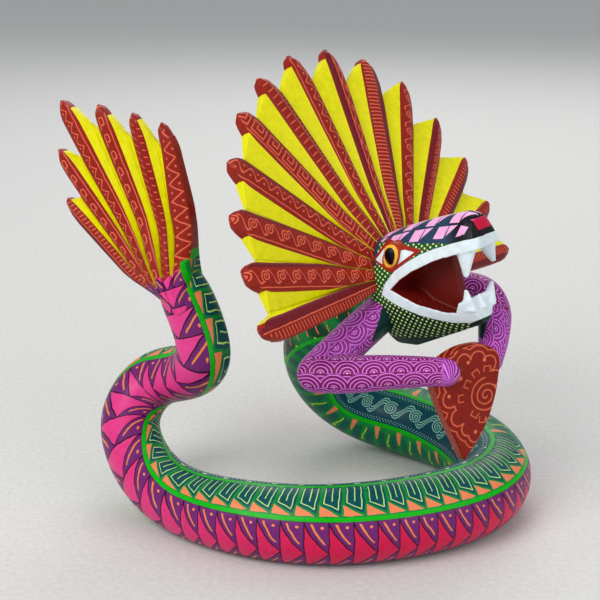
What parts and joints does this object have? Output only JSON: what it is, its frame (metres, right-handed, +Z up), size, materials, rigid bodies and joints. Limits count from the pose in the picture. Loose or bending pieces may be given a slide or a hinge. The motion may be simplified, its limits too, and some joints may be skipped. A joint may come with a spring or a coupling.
{
  "type": "carved feathered serpent figurine",
  "caption": "Painted wood carving of a feathered serpent: coiled body, raised tail with a feather fan, open-mouthed head in a rayed crest, and arms that hold a heart.",
  "frame": {"origin": "on the surface it stands on, under the middle of the box round the whole carving", "axes": "+Z up; +X to the side the head is on, from the tail toward the head; -Y is the front, the side the heart and the near arm are on"},
  "size_m": [0.206, 0.1582, 0.195],
  "materials": {
    "painted_copal_wood": "satin acrylic paint over sanded wood"
  },
  "bodies": {
    "root": {"feathered_serpent": "painted_copal_wood"}
  },
  "joints": []
}
